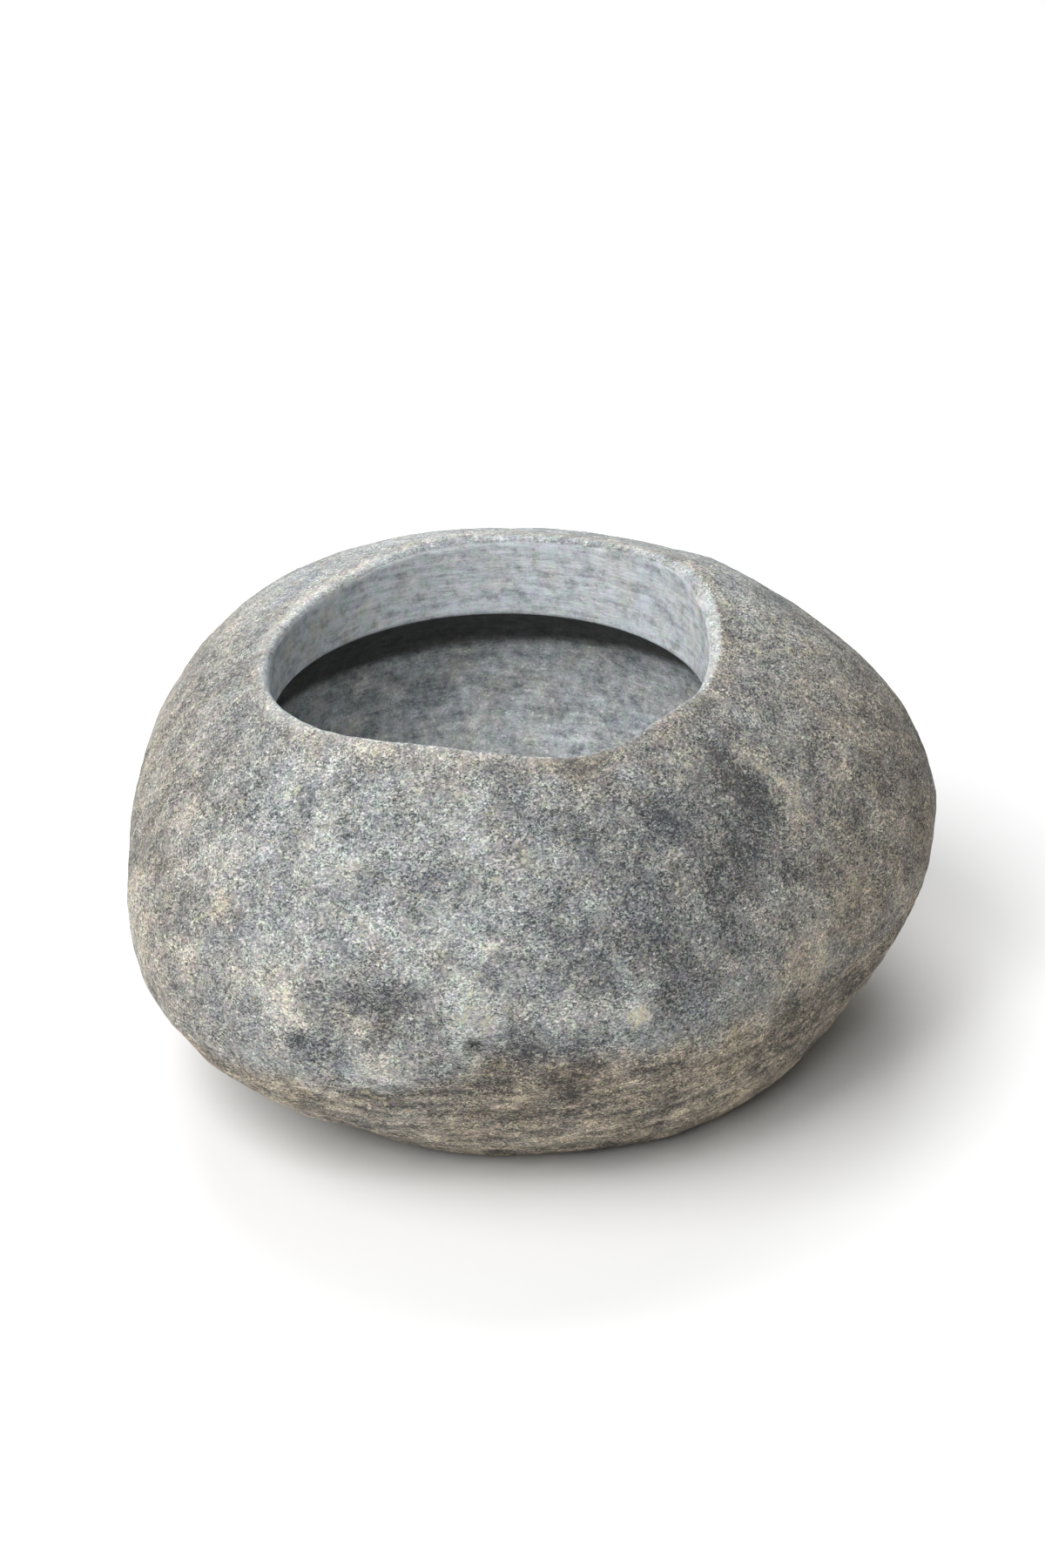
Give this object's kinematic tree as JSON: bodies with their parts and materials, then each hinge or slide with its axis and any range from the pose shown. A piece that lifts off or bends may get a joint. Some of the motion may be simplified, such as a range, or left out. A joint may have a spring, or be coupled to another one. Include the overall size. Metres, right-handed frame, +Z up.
{
  "type": "molcajete",
  "caption": "Mortar bowl hollowed out of one rounded river boulder, with a round off-centre mouth, a straight neck, a wider undercut chamber and a ground flat base.",
  "frame": {"origin": "on the flat base, straight below the centre of the mouth", "axes": "+Z up along the mouth's axis, +X towards the boulder's long nose, +Y towards its steep back"},
  "size_m": [0.1805, 0.169, 0.098],
  "materials": {
    "stone": "rough natural skin, honed inside the mouth"
  },
  "bodies": {
    "root": {"stone_bowl": "stone"}
  },
  "joints": []
}
